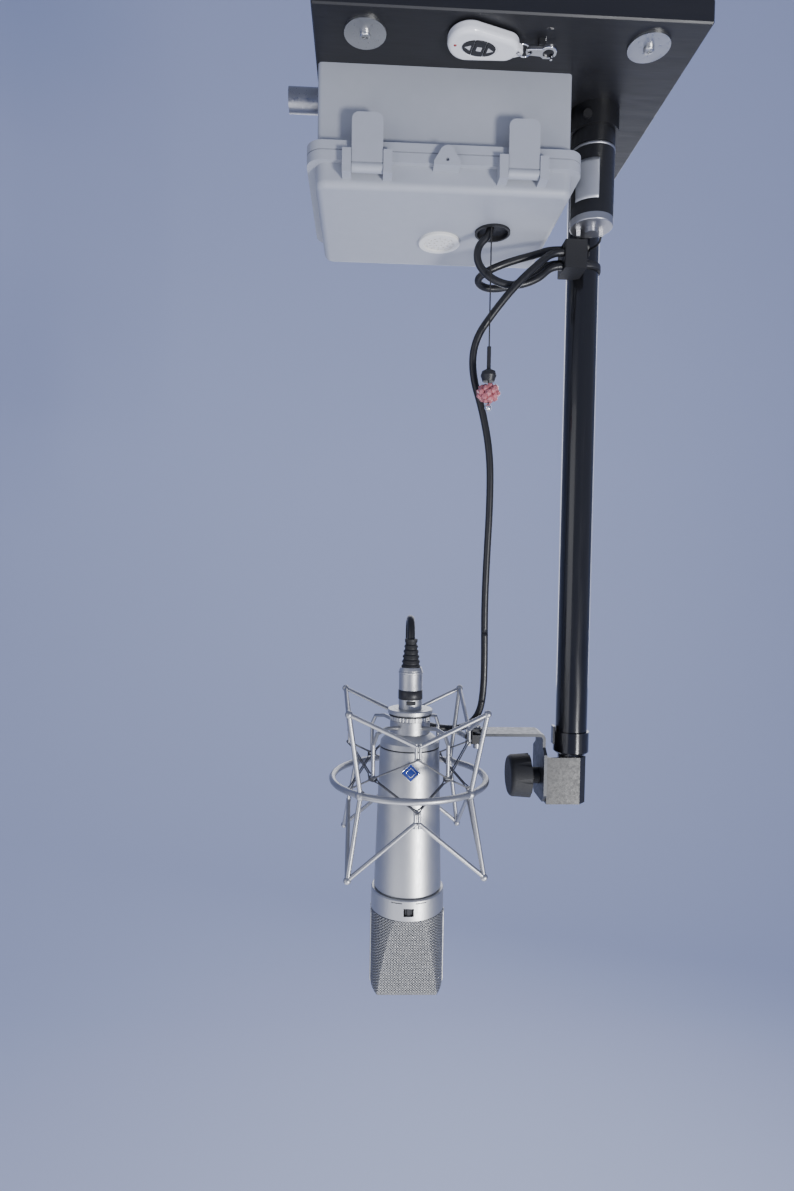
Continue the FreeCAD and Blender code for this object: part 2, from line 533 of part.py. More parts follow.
# ---------------------------------------------------------------- microphone basket
cx, cy = MIC
HUB_TOP, HUB_BOTTOM = -487.4, -497.2
wires = [tube(cx, cy, HUB_BOTTOM, HUB_TOP, 12.4, 15.6)]
knots = []
bx0, bx1 = BASKET_X
by0, by1 = BASKET_Y
for bx, by in ((bx0, by0), (bx1, by0), (bx1, by1), (bx0, by1)):
    out = V(bx - cx, by - cy, 0).normalize()
    start = V(cx, cy, -492.0) + out * 14.2
    rise = V(cx, cy, -489.5) + out * 31.0
    bend = V(bx, by, -491.5) - out * 4.5
    top, knot = V(bx, by, -499.0), V(bx, by, -523.5)
    for a, b in ((start, rise), (rise, bend), (bend, top), (top, knot)):
        wires += [rod(a, b, 1.5), Part.makeSphere(1.51, b)]
    wires.append(Part.makeSphere(2.5, knot))
    knots.append(knot)
save(joined(wires), "inner_basket")

bands = []
for k, knot in enumerate(knots):
    for hook in (hooks[2 * k], hooks[2 * k + 1], hooks[(2 * k - 2) % 8], hooks[(2 * k - 1) % 8]):
        along = (hook - knot).normalize()
        bands.append(rod(knot + along * 5.4, hook - along * 3.4, 0.9))
save(Part.makeCompound(bands), "elastic_bands")

# ---------------------------------------------------------------- microphone
outer_line = [(12.0, -478.8), (12.0, -497.4), (15.4, -497.4), (19.5, -500.4), (22.6, -503.6),
              (23.1, -507.4), (22.6, -507.4), (22.6, -508.5), (23.2, -508.5), (26.2, -616.6),
              (26.2, -617.1), (25.3, -617.1), (25.3, -618.1)]
inner_line = [(24.2, -618.1), (21.5, -511.0), (10.5, -500.0), (10.5, -484.0), (9.4, -484.0), (9.4, -478.8)]
save(turned(cx, cy, outer_line + inner_line), "mic_body")

BADGE_Z = -522.5
badge = prism([V(cx + dx, cy - 25.2, BADGE_Z + dz) for dx, dz in ((-7, 0), (0, 7), (7, 0), (0, -7))],
              V(0, 4, 0))
badge = badge.cut(Part.makeCone(26.25, 23.25, 108.1, V(cx, cy, -616.6)))
save(mic_turned(badge), "badge")

nut = turned(cx, cy, [(12.1, -487.1), (15.9, -487.1), (15.9, -482.6), (17.3, -482.0), (17.5, -479.6),
                      (16.9, -478.9), (12.1, -478.9)])
for k in range(36):
    a = math.radians(k * 10)
    nut = nut.cut(cylinder(cx + 16.4 * math.cos(a), cy + 16.4 * math.sin(a), -488, -483.0, 0.8))
save(nut, "ring_nut")

head = turned(cx, cy, [(25.0, RING_TOP), (27.6, RING_TOP), (28.3, RING_TOP - 0.9), (28.4, RING_BOTTOM),
                       (20.0, RING_BOTTOM), (20.0, RING_BOTTOM + 1.5), (25.0, RING_BOTTOM + 1.5)])
head = head.fuse(box(cx - 21, cx + 21, cy - 5, cy + 5, RING_BOTTOM, RING_BOTTOM + 1.5)).removeSplitter()
SWITCH_Z = -627.3
head = head.cut(box(cx - 3.9, cx + 3.9, cy - 30, cy - 24.4, SWITCH_Z - 3.0, SWITCH_Z + 3.0))
for slot_x in (-13.2, 5.2):
    head = head.cut(box(cx + slot_x, cx + slot_x + 8.0, cy - 30, cy - 24.0, -620.9, -620.2))
save(mic_turned(head), "head_ring")
switch = box(cx - 1.2, cx + 1.2, cy - 27.6, cy - 25.2, SWITCH_Z - 2.2, SWITCH_Z + 2.2)
switch = switch.fuse(box(cx - 2.9, cx + 2.9, cy - 26.4, cy - 25.2, SWITCH_Z - 2.7, SWITCH_Z + 2.7))
save(mic_turned(switch.removeSplitter()), "pattern_switch")


def head_solid(inset):
    half, top, low = 28.4 - inset, RING_BOTTOM, GRILLE_BOTTOM + inset
    face = box(cx - half, cx + half, cy - 40, cy + 40, low, top)
    lows = [e for e in face.Edges if abs(e.CenterOfMass.z - low) < 1e-6
            and abs(abs(e.CenterOfMass.x - cx) - half) < 1e-6]
    face = face.makeFillet(7.0 - inset * 0.5, lows)
    deep, slim = 26.5 - inset, 17.0 - inset
    wedge = prism([V(cx - 40, cy - deep, top), V(cx - 40, cy + deep, top),
                   V(cx - 40, cy + slim, low), V(cx - 40, cy - slim, low)], V(80, 0, 0))
    return face.common(wedge).common(cylinder(cx, cy, low - 1, top + 1, half))


shell = head_solid(0.0).cut(head_solid(1.6))
strip = box(cx - 40, cx + 40, cy - 4.0, cy + 4.0, -720, -620)
save(mic_turned(shell.common(strip)), "grille_frame")
save(mic_turned(shell.cut(strip)), "grille_mesh")

CAPSULE_Z = -665.0
capsule = Part.makeCylinder(16.5, 7.0, V(cx, cy - 3.5, CAPSULE_Z), Y_AXIS)
capsule = capsule.fuse(Part.makeCylinder(17.6, 3.0, V(cx, cy - 1.5, CAPSULE_Z), Y_AXIS))
capsule = capsule.fuse(cylinder(cx, cy, CAPSULE_Z + 13, RING_BOTTOM, 3.2)).removeSplitter()
save(mic_turned(capsule), "capsule")
save(mic_turned(box(cx - 18, cx + 18, cy - 0.8, cy + 0.8, -612, -518)), "mic_pcb")

# ---------------------------------------------------------------- connector and boot
shell = turned(cx, cy, [(7.6, -482.0), (9.1, -482.0), (9.1, -449.0), (8.2, -446.6),
                        (7.6, -446.6)])
floor = tube(cx, cy, -456, -446.6, CABLE_D / 2 + 0.1, 7.7)
pocket = box(cx - 3.6, cx + 3.6, cy - 11, cy - 6.8, -475.0, -471.9)
save(shell.fuse(floor).removeSplitter().cut(pocket), "connector_shell")
button = box(cx - 3.2, cx + 3.2, cy - 9.7, cy - 6.9, -474.6, -472.3)
save(button, "connector_latch")
rows = [(CABLE_D / 2 + 0.1, -446.6), (7.5, -446.6)]
for k in range(5):
    r, z = 7.4 - 0.55 * k, -444.2 + 3.9 * k
    rows += [(r, z - 1.2), (r - 0.9, z - 0.2), (r - 0.9, z + 1.0), (r - 0.3, z + 1.4)]
rows += [(5.0, -424.8), (CABLE_D / 2 + 0.1, -424.8)]
save(turned(cx, cy, rows), "boot")

# ---------------------------------------------------------------- cable and its tie
wrap = rounded_box(62.5, 80.0, -4.5, 19.0, -132.5, -110.5, 1.0)
tie = tube(tx, ty, -124.5, -118.5, TUBE_R + 0.05, TUBE_R + 1.3)
tie = tie.fuse(wrap).cut(cylinder(tx, ty, -140, -100, TUBE_R + 0.05))
save(tie.removeSplitter(), "cable_tie")

entry = [(3.9, -2, -97), (3.9, -2, -108), (-6.6, -1, -117.5), (-6.0, 0, -131), (6, 1.5, -142),
         (24, 2, -146.5), (43, 2, -140), (53.5, 2.3, -129), (62.5, 2.3, -129)]
slack = [(62.5, 7, -114.5), (53, 7, -114.5), (42, 7.5, -118.5), (26, 6.5, -123.5),
         (11, 5.5, -129.5), (0.5, 8, -134), (-4, 14.5, -137), (0.5, 21, -139.5),
         (11, 23.5, -140.5), (26, 21, -138.5), (43, 14, -131.5), (53, 9, -124.5),
         (62.5, 9, -124.5)]
descent = [(62.5, -0.5, -119.5), (54, -0.5, -119.5), (43, -4.2, -129), (24, -5, -147.4),
           (8, -1, -167), (-6.5, 5, -188), (-7.5, 9, -213), (3, 13, -243), (10, 15, -278),
           (11.2, 20, -318), (10.6, 26, -360), (10.4, 31, -402), (12, 35, -444),
           (12.4, 38.5, -472), (10.5, 43, -493), (2, 46.3, -505), (-10, 47.6, -509),
           (-24, 46.8, -508), (-39, 36, -502.5), (-50, 20, -490), (-54, 14.5, -468),
           (-54, 13, -438), (-54, 12.5, -410), (-54, -14, -410), (-54, -14, -430)]


def midpoint(route, k):
    return tuple((p + q) / 2 for p, q in zip(route[k], route[k + 1]))


cuts = (11, 13, 16)
joins = [midpoint(descent, k) for k in cuts]
routes = {
    "cable_entry": entry,
    "cable_slack": slack,
    "cable_drop": descent[:12] + joins[:1],
    "cable_elbow": joins[:1] + descent[12:14] + joins[1:2],
    "cable_link": joins[1:2] + descent[14:17] + joins[2:],
    "cable_tail": joins[2:] + descent[17:],
}
for name, route in routes.items():
    save(cord(route, CABLE_D, name), name)
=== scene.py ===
import bpy, bmesh, math, random
from mathutils import Matrix, Vector


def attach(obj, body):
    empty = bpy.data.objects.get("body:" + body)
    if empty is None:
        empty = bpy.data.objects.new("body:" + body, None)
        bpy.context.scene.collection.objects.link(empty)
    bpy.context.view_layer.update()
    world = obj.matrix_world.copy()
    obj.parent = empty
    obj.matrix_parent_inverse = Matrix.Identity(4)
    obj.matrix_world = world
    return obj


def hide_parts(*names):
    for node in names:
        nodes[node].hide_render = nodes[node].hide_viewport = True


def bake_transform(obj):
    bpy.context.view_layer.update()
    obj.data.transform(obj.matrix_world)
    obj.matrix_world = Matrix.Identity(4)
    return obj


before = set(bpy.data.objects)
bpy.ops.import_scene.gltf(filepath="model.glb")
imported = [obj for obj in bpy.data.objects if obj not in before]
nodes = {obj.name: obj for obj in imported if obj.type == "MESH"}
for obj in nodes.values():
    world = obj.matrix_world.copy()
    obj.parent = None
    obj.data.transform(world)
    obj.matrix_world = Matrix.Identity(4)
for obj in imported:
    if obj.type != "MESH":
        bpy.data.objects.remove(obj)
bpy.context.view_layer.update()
rng = random.Random(7)


def mm(*values):
    return Vector(values) / 1000.0


# ---------------------------------------------------------------- camera
def place_camera():
    yaw, pitch, roll = math.radians(2.617), math.radians(-2.087), math.radians(0.9)
    ahead = Vector((math.sin(yaw) * math.cos(pitch), math.cos(yaw) * math.cos(pitch), math.sin(pitch)))
    right = ahead.cross(Vector((0, 0, 1))).normalized()
    up = right.cross(ahead)
    tilted_right = right * math.cos(roll) + up * math.sin(roll)
    tilted_up = up * math.cos(roll) - right * math.sin(roll)
    data = bpy.data.cameras.new("camera")
    data.sensor_fit = "VERTICAL"
    data.sensor_height = 36.0
    data.lens = 21.16
    camera = bpy.data.objects.new("camera", data)
    bpy.context.collection.objects.link(camera)
    turn = Matrix((tilted_right, tilted_up, -ahead)).transposed().to_4x4()
    camera.matrix_world = Matrix.Translation(mm(-90.4, -555, -371.4)) @ turn
    bpy.context.scene.camera = camera


place_camera()


# ---------------------------------------------------------------- materials
def material(name, color, rough, metal=0.0, vary=0.1, grain=300.0, bump=0.15, depth=0.0002,
             coat=0.0, stretch=(1, 1, 1), rough_vary=0.08, **sockets):
    mat = bpy.data.materials.new(name)
    mat.use_nodes = True
    tree = mat.node_tree
    shader = tree.nodes["Principled BSDF"]
    shader.inputs["Metallic"].default_value = metal
    shader.inputs["Coat Weight"].default_value = coat
    for key, value in sockets.items():
        shader.inputs[key.replace("_", " ")].default_value = value
    place = tree.nodes.new("ShaderNodeTexCoord")
    mapping = tree.nodes.new("ShaderNodeMapping")
    mapping.inputs["Scale"].default_value = stretch
    tree.links.new(place.outputs["Object"], mapping.inputs["Vector"])

    def noise(scale, detail):
        node = tree.nodes.new("ShaderNodeTexNoise")
        node.inputs["Scale"].default_value = scale
        node.inputs["Detail"].default_value = detail
        tree.links.new(mapping.outputs["Vector"], node.inputs["Vector"])
        return node.outputs["Fac"]

    broad, fine = noise(grain * 0.12, 5.0), noise(grain, 3.0)
    mix = tree.nodes.new("ShaderNodeMix")
    mix.data_type = "RGBA"
    mix.inputs[6].default_value = [c * (1 - vary) for c in color[:3]] + [1]
    mix.inputs[7].default_value = [min(1.0, c * (1 + vary)) for c in color[:3]] + [1]
    tree.links.new(broad, mix.inputs[0])
    tree.links.new(mix.outputs[2], shader.inputs["Base Color"])
    spread = tree.nodes.new("ShaderNodeMapRange")
    spread.inputs["From Min"].default_value = 0.3
    spread.inputs["From Max"].default_value = 0.7
    spread.inputs["To Min"].default_value = max(0.02, rough - rough_vary)
    spread.inputs["To Max"].default_value = min(1.0, rough + rough_vary)
    tree.links.new(fine, spread.inputs["Value"])
    tree.links.new(spread.outputs["Result"], shader.inputs["Roughness"])
    relief = tree.nodes.new("ShaderNodeBump")
    relief.inputs["Strength"].default_value = bump
    relief.inputs["Distance"].default_value = depth
    tree.links.new(fine, relief.inputs["Height"])
    tree.links.new(relief.outputs["Normal"], shader.inputs["Normal"])
    return mat


M = {
    "board": material("black_board", (0.011, 0.011, 0.013), 0.42, grain=180, bump=0.35, depth=0.0004,
                      stretch=(0.15, 1, 1), vary=0.3),
    "grey": material("grey_abs", (0.37, 0.385, 0.42), 0.46, grain=900, bump=0.10, depth=0.0001, vary=0.04),
    "cream": material("cream_abs", (0.80, 0.79, 0.74), 0.4, grain=700, bump=0.08, vary=0.04),
    "dark": material("dark_abs", (0.018, 0.018, 0.02), 0.45, grain=700, bump=0.1),
    "tube": material("pole_black", (0.006, 0.006, 0.007), 0.22, grain=260, bump=0.06, coat=0.3,
                     stretch=(1, 1, 0.06), vary=0.3),
    "black": material("black_metal", (0.010, 0.010, 0.011), 0.38, grain=500, bump=0.12, vary=0.3),
    "strap": material("strap_paint", (0.045, 0.047, 0.052), 0.36, metal=0.4, grain=300, bump=0.12, vary=0.2),
    "rubber": material("soft_rubber", (0.012, 0.012, 0.013), 0.62, grain=900, bump=0.25, vary=0.25),
    "cable": material("cable_jacket", (0.010, 0.010, 0.011), 0.38, grain=600, bump=0.12, vary=0.25),
    "thread": material("pull_thread", (0.02, 0.019, 0.018), 0.8, grain=3000, bump=0.5, vary=0.3),
    "zinc": material("zinc_plate", (0.56, 0.56, 0.55), 0.34, metal=1.0, grain=500, bump=0.1, vary=0.15),
    "steel": material("bright_steel", (0.46, 0.46, 0.47), 0.4, metal=1.0, grain=400, bump=0.02,
                      stretch=(1, 1, 4), vary=0.06, rough_vary=0.04),
    "chrome": material("chrome", (0.78, 0.78, 0.79), 0.1, metal=1.0, grain=300, bump=0.03, vary=0.04,
                       rough_vary=0.03),
    "nickel": material("satin_nickel", (0.50, 0.50, 0.495), 0.44, metal=1.0, grain=900, bump=0.03,
                       depth=0.00003, vary=0.04, stretch=(1, 1, 0.25), rough_vary=0.04),
    "wire": material("cage_nickel", (0.43, 0.43, 0.43), 0.42, metal=1.0, grain=500, bump=0.03,
                     depth=0.00004, vary=0.08, rough_vary=0.05),
    "ribbed": material("ribbed_steel", (0.30, 0.30, 0.31), 0.34, metal=1.0, grain=500, bump=0.1, vary=0.15),
    "elastic": material("elastic_cord", (0.12, 0.12, 0.125), 0.7, grain=2500, bump=0.3, vary=0.25),
    "mesh": material("mesh_wire", (0.42, 0.42, 0.415), 0.46, metal=1.0, grain=900, bump=0.03, vary=0.06),
    # Darker copy of the mesh wire for the grille surface under the weave: painted shade of the grille's
    # inside, seen between the wires.
    "mesh_shade": material("grille_inside_shade", (0.16, 0.16, 0.155), 0.5, metal=1.0, grain=900, bump=0.3, vary=0.3),
    "white": material("white_gloss", (0.80, 0.80, 0.80), 0.2, grain=500, bump=0.03, coat=0.4, vary=0.03),
    "alloy": material("drawn_alloy", (0.55, 0.55, 0.56), 0.28, metal=1.0, grain=400, bump=0.08,
                      stretch=(6, 6, 0.3), vary=0.08),
    "brass": material("machined_brass", (0.60, 0.42, 0.18), 0.3, metal=1.0, grain=400, bump=0.1),
    "gold": material("gold_film", (0.75, 0.52, 0.20), 0.25, metal=1.0, grain=600, bump=0.05),
    "circuit": material("circuit_green", (0.02, 0.14, 0.05), 0.35, grain=500, bump=0.15, vary=0.2),
    "label": material("foil_label", (0.55, 0.56, 0.58), 0.4, metal=0.7, grain=900, bump=0.05, vary=0.05),
    "enamel": material("blue_enamel", (0.03, 0.06, 0.32), 0.15, grain=300, bump=0.03, coat=0.8, vary=0.15),
    "rose": material("rose_crystal", (0.62, 0.22, 0.24), 0.08, grain=200, bump=0.02, vary=0.2,
                     Transmission_Weight=0.35, IOR=1.52),
    "led": material("red_lens", (0.30, 0.02, 0.02), 0.15, grain=300, bump=0.02),
    "ink": material("mark_white", (0.55, 0.55, 0.56), 0.5, grain=600, bump=0.05),
}
FINISH = {
    "board": ["board"],
    "zinc": ["washers", "screws", "hinge_pins"],
    "grey": ["box_base", "lid", "latch_left", "latch_right"],
    "chrome": ["fob_ring", "clasp_body", "clasp_lever"],
    "ribbed": ["side_fitting"],
    "circuit": ["receiver_pcb", "mic_pcb"],
    "cream": ["vent_disc"],
    "rubber": ["grommet", "boot", "knob", "fob_pad", "cable_tie"],
    "white": ["fob_shell"],
    "dark": ["fob_button_up", "fob_button_stop", "fob_button_down", "pattern_switch",
             "connector_latch", "cord_weight"],
    "black": ["gearbox_housing", "motor_can", "yoke", "swivel_block"],
    "tube": ["outer_tube", "collar"],
    "strap": ["strap"],
    "steel": ["motor_endcap", "motor_pulley", "lead_screw", "knob_stud", "swivel_screw"],
    "alloy": ["inner_rod"],
    "brass": ["drive_nut"],
    "wire": ["outer_cage", "inner_basket"],
    "nickel": ["mic_body", "head_ring", "ring_nut", "grille_frame", "connector_shell"],
    # The grille surface under the weave gets the painted shade material.
    "mesh_shade": ["grille_mesh"],
    "gold": ["capsule"],
    "enamel": ["badge"],
}
for key, names in FINISH.items():
    for name in names:
        for place in nodes[name].material_slots:
            place.material = M[key]


# ---------------------------------------------------------------- mesh helpers
def add_object(name, mesh, mat, body=None, smooth=True):
    obj = bpy.data.objects.new(name, mesh)
    bpy.context.collection.objects.link(obj)
    mesh.materials.clear()
    mesh.materials.append(mat)
    for face in mesh.polygons:
        face.use_smooth = smooth and len(face.vertices) < 5
    if body:
        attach(obj, body)
    return obj


def mesh_from(name, verts, faces):
    mesh = bpy.data.meshes.new(name)
    mesh.from_pydata([tuple(v) for v in verts], [], faces)
    mesh.update()
    return mesh


def sweep(points, radius, sides=12, closed=False, start=None):
    """Vertices and faces of a round tube along points; radius may be a list."""
    verts, faces = [], []
    count = len(points)
    radii = radius if isinstance(radius, (list, tuple)) else [radius] * count
    axis = None
    for i, p in enumerate(points):
        if closed:
            t = (points[(i + 1) % count] - points[i - 1]).normalized()
        else:
            t = (points[min(i + 1, count - 1)] - points[max(i - 1, 0)]).normalized()
        if axis is None:
            axis = start or (Vector((0, 0, 1)) if abs(t.z) < 0.9 else Vector((1, 0, 0)))
        axis = (axis - t * axis.dot(t)).normalized()
        side = t.cross(axis)
        for k in range(sides):
            a = 2 * math.pi * k / sides
            verts.append(p + (axis * math.cos(a) + side * math.sin(a)) * radii[i])
    rings = count if closed else count - 1
    for i in range(rings):
        j = (i + 1) % count
        for k in range(sides):
            m = (k + 1) % sides
            faces.append((i * sides + k, i * sides + m, j * sides + m, j * sides + k))
    if not closed:
        faces.append(tuple(range(sides))[::-1])
        faces.append(tuple((count - 1) * sides + k for k in range(sides)))
    return verts, faces


def tubes(name, lines, mat, body, sides=8):
    """One mesh of many tubes: lines is a list of (points, radius, closed)."""
    verts, faces = [], []
    for points, radius, closed in lines:
        v, f = sweep(points, radius, sides, closed)
        faces += [tuple(i + len(verts) for i in face) for face in f]
        verts += v
    return add_object(name, mesh_from(name, verts, faces), mat, body)


def lathe(name, centre, profile, mat, body, sides=64, axis="Z"):
    """Closed surface of revolution; profile is a list of (radius, height) in mm."""
    verts, faces = [], []
    for r, h in profile:
        for k in range(sides):
            a = 2 * math.pi * k / sides
            c, s = r * math.cos(a), r * math.sin(a)
            verts.append(mm(c, s, h) if axis == "Z" else mm(h, c, s))
    count = len(profile)
    for i in range(count):
        j = (i + 1) % count
        for k in range(sides):
            m = (k + 1) % sides
            faces.append((i * sides + k, i * sides + m, j * sides + m, j * sides + k))
    verts = [v + centre for v in verts]
    mesh = mesh_from(name, verts, faces)
    work = bmesh.new()
    work.from_mesh(mesh)
    bmesh.ops.remove_doubles(work, verts=work.verts, dist=1e-6)
    bmesh.ops.recalc_face_normals(work, faces=work.faces)
    work.to_mesh(mesh)
    work.free()
    return add_object(name, mesh, mat, body)


def spin(points, centre, degrees):
    turn = Matrix.Rotation(math.radians(degrees), 3, "Z")
    return [turn @ (p - centre) + centre for p in points]


# ---------------------------------------------------------------- cords
def spline_points(route):
    """The smooth line of a cord's route, read from its NURBS spline."""
    curve = bpy.data.curves.new("line", "CURVE")
    curve.dimensions = "3D"
    curve.resolution_u = 10
    spline = curve.splines.new("NURBS")
    spline.points.add(len(route) - 1)
    for point, co in zip(spline.points, route):
        point.co = (*mm(*co), 1.0)
    spline.order_u = 3
    spline.use_endpoint_u = True
    holder = bpy.data.objects.new("line", curve)
    bpy.context.collection.objects.link(holder)
    mesh = bpy.data.meshes.new_from_object(holder)
    points = [v.co.copy() for v in mesh.vertices]
    bpy.data.objects.remove(holder)
    return points


def cable(name, route, diameter, stiffness="medium"):
    points = spline_points(route)
    verts, faces = sweep(points, diameter / 2000.0, 20)
    obj = add_object("flex_" + name, mesh_from("flex_" + name, verts, faces), M["cable"])
    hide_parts(name)
    return obj, points


def midpoint(route, k):
    return tuple((p + q) / 2 for p, q in zip(route[k], route[k + 1]))


entry = [(3.9, -2, -97), (3.9, -2, -108), (-6.6, -1, -117.5), (-6.0, 0, -131), (6, 1.5, -142),
         (24, 2, -146.5), (43, 2, -140), (53.5, 2.3, -129), (62.5, 2.3, -129)]
slack = [(62.5, 7, -114.5), (53, 7, -114.5), (42, 7.5, -118.5), (26, 6.5, -123.5),
         (11, 5.5, -129.5), (0.5, 8, -134), (-4, 14.5, -137), (0.5, 21, -139.5),
         (11, 23.5, -140.5), (26, 21, -138.5), (43, 14, -131.5), (53, 9, -124.5),
         (62.5, 9, -124.5)]
descent = [(62.5, -0.5, -119.5), (54, -0.5, -119.5), (43, -4.2, -129), (24, -5, -147.4),
           (8, -1, -167), (-6.5, 5, -188), (-7.5, 9, -213), (3, 13, -243), (10, 15, -278),
           (11.2, 20, -318), (10.6, 26, -360), (10.4, 31, -402), (12, 35, -444),
           (12.4, 38.5, -472), (10.5, 43, -493), (2, 46.3, -505), (-10, 47.6, -509),
           (-24, 46.8, -508), (-39, 36, -502.5), (-50, 20, -490), (-54, 14.5, -468),
           (-54, 13, -438), (-54, 12.5, -410), (-54, -14, -410), (-54, -14, -430)]
joins = [midpoint(descent, k) for k in (11, 13, 16)]
CABLES = [
    ("cable_entry", entry, "box_lid", "ceiling_unit"),
    ("cable_slack", slack, "ceiling_unit", None),
    ("cable_drop", descent[:12] + joins[:1], "ceiling_unit", "pole_rod"),
    ("cable_elbow", joins[:1] + descent[12:14] + joins[1:2], "pole_rod", "bracket"),
    ("cable_link", joins[1:2] + descent[14:17] + joins[2:], "bracket", "cage"),
    ("cable_tail", joins[2:] + descent[17:], "cage", "microphone"),
]
for name, route, first, second in CABLES:
    obj, points = cable(name, route, 6.0)
    if second:
        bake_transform(obj)
    else:
        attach(obj, first)

# ---------------------------------------------------------------- pull cord and bead
PULL = (3.5, -6.5)
THREAD_HEIGHTS = (-99, -101, -102.5, -104, -105.5, -107, -110, -120, -150, -180, -214.4)
BEAD_Z, BALL_Z, BALL_R = -232.3, -243.5, 2.75
thread_line = [mm(*PULL, z) for z in THREAD_HEIGHTS]
verts, faces = sweep(thread_line, 0.00055, 10)
thread = add_object("pull_thread", mesh_from("pull_thread", verts, faces), M["thread"])
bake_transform(thread)
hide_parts("pull_cord")


def crystal_cluster():
    """Faceted crystals packed round an egg-shaped core."""
    work = bmesh.new()
    core = Matrix.Translation(mm(*PULL, BEAD_Z)) @ Matrix.Diagonal((0.0062, 0.0062, 0.0056, 1))
    bmesh.ops.create_icosphere(work, subdivisions=2, radius=1.0, matrix=core)
    golden = math.pi * (3 - math.sqrt(5))
    for k in range(26):
        z = 1 - 2 * (k + 0.5) / 26
        r = math.sqrt(1 - z * z)
        a = golden * k
        at = mm(PULL[0] + 6.9 * r * math.cos(a), PULL[1] + 6.9 * r * math.sin(a), BEAD_Z + 5.6 * z)
        size = 0.0027 + 0.0006 * rng.random()
        turn = Matrix.Rotation(rng.random() * 6.0, 4, Vector((rng.random(), rng.random(), 1)))
        spot = Matrix.Translation(at) @ turn @ Matrix.Diagonal((size, size, size, 1))
        bmesh.ops.create_icosphere(work, subdivisions=1, radius=1.0, matrix=spot)
    mesh = bpy.data.meshes.new("crystal_bead")
    work.to_mesh(mesh)
    work.free()
    return add_object("crystal_bead", mesh, M["rose"], "pull", smooth=False)


bead = crystal_cluster()
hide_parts("bead")
bright_ball = lathe("cord_ball", mm(*PULL, BALL_Z),
                    [(BALL_R * math.sin(a * math.pi / 12), BALL_R * math.cos(a * math.pi / 12))
                     for a in range(13)], M["chrome"], "pull", 32)

# ---------------------------------------------------------------- microphone grille
MIC = mm(-54, -14, 0)
MIC_TURN = -1.0
TOP, LOW = -633.8, -696.8
GRILLE_R, GRILLE_CORNER = 28.4, 7.0


def grille_half_width(z):
    rise = z - LOW
    if rise >= GRILLE_CORNER:
        return GRILLE_R
    return GRILLE_R - GRILLE_CORNER + math.sqrt(max(0.0, GRILLE_CORNER ** 2 - (GRILLE_CORNER - rise) ** 2))


def grille_low(x):
    over = abs(x) - (GRILLE_R - GRILLE_CORNER)
    return LOW if over <= 0 else LOW + GRILLE_CORNER - math.sqrt(max(0.0, GRILLE_CORNER ** 2 - over * over))


def grille_depth(x, z):
    wedge = 26.5 + (17.0 - 26.5) * (z - TOP) / (LOW - TOP)
    return min(wedge, math.sqrt(max(0.0, GRILLE_R ** 2 - x * x)))


def weave_point(x, z, side, lift):
    """A point on the grille's front (side -1) or back (side 1), pushed out by lift."""
    return mm(x, side * (grille_depth(x, z) + lift), z)


def woven_grille():
    """Two families of wires crossing at right angles, laid at 45 degrees."""
    pitch, radius, step = 1.5, 0.00033, 0.75
    shift = Vector((MIC.x, MIC.y, 0))
    root = math.sqrt(0.5)
    lines = []
    for side in (-1, 1):
        for family in (-1, 1):
            for n in range(-44, 45):
                line = []
                for j in range(-90, 91):
                    u, v = n * pitch, j * step
                    x, z = (u + v) * root, -665.0 + family * (v - u) * root
                    inside = abs(x) < grille_half_width(z) - 0.7 and grille_low(x) + 0.7 < z < TOP - 0.4
                    if inside:
                        wave = 0.22 * math.cos(math.pi * (j * step / pitch + n)) * family
                        line.append(weave_point(x, z, side, 0.3 + wave))
                    elif len(line) > 3:
                        lines.append(line)
                        line = []
                    else:
                        line = []
    for k in range(-17, 18):
        x = k * pitch
        reach = grille_depth(x, LOW) - 0.6
        lines.append([mm(x, y * pitch, grille_low(x) - 0.3 - 0.2 * ((k + y) % 2))
                      for y in range(-int(reach / pitch), int(reach / pitch) + 1)])
    turned = [(spin([p + shift for p in line], MIC, MIC_TURN), radius, False)
              for line in lines if len(line) > 3]
    return tubes("woven_grille", turned, M["mesh"], "microphone", sides=4)


grille = woven_grille()


def grille_edges():
    """Two beads along the frame strip that runs down one side, under and up the other."""
    lines = []
    shift = Vector((MIC.x, MIC.y, 0))
    for y in (-4.2, 4.2):
        half = [(-28.2, z) for z in range(-635, -688, -4)]
        for k in range(9):
            a = math.radians(180 + k * 90 / 8)
            half.append((-21.4 + 7.0 * math.cos(a), LOW + 7.0 + 7.0 * math.sin(a)))
        outline = half + [(-x, z) for x, z in reversed(half)]
        line = [mm(x, y, z) for x, z in outline]
        lines.append((spin([p + shift for p in line], MIC, MIC_TURN), 0.0007, False))
    return tubes("grille_edges", lines, M["nickel"], "microphone", sides=10)


grille_edges()

# ---------------------------------------------------------------- microphone details
def on_mic(points, degrees=MIC_TURN):
    return spin([Vector((MIC.x, MIC.y, 0)) + p for p in points], MIC, degrees)


BADGE_Z, BADGE_HALF, BADGE_Y = -522.5, 7.0, -25.35


def badge_outline(half):
    return [mm(x, BADGE_Y, BADGE_Z + z) for x, z in ((-half, 0), (0, half), (half, 0), (0, -half))]


rim, inner = badge_outline(BADGE_HALF), badge_outline(BADGE_HALF * 0.55)
tubes("badge_rim", [(on_mic(rim), 0.0005, True), (on_mic(inner), 0.00035, True)],
      M["chrome"], "microphone", sides=8)
lathe("foot_seal", MIC, [(15.7, -482.8), (16.3, -482.9), (16.3, -484.0), (15.7, -484.1)],
      M["rubber"], "foot_nut")
# A thin dark rubber ring filling the shoulder groove: painted shade of the groove.
lathe("groove_shade_ring", MIC, [(22.5, -507.5), (22.95, -507.6), (22.95, -508.3), (22.5, -508.4)],
      M["rubber"], "microphone")
lathe("plug_band", MIC, [(9.05, -464.0), (9.45, -464.3), (9.45, -471.1), (9.05, -471.4)],
      M["dark"], "microphone")
lathe("plug_rings", MIC, [(9.05, -449.5), (9.5, -450.0), (9.5, -451.2), (9.05, -451.7)],
      M["nickel"], "microphone")

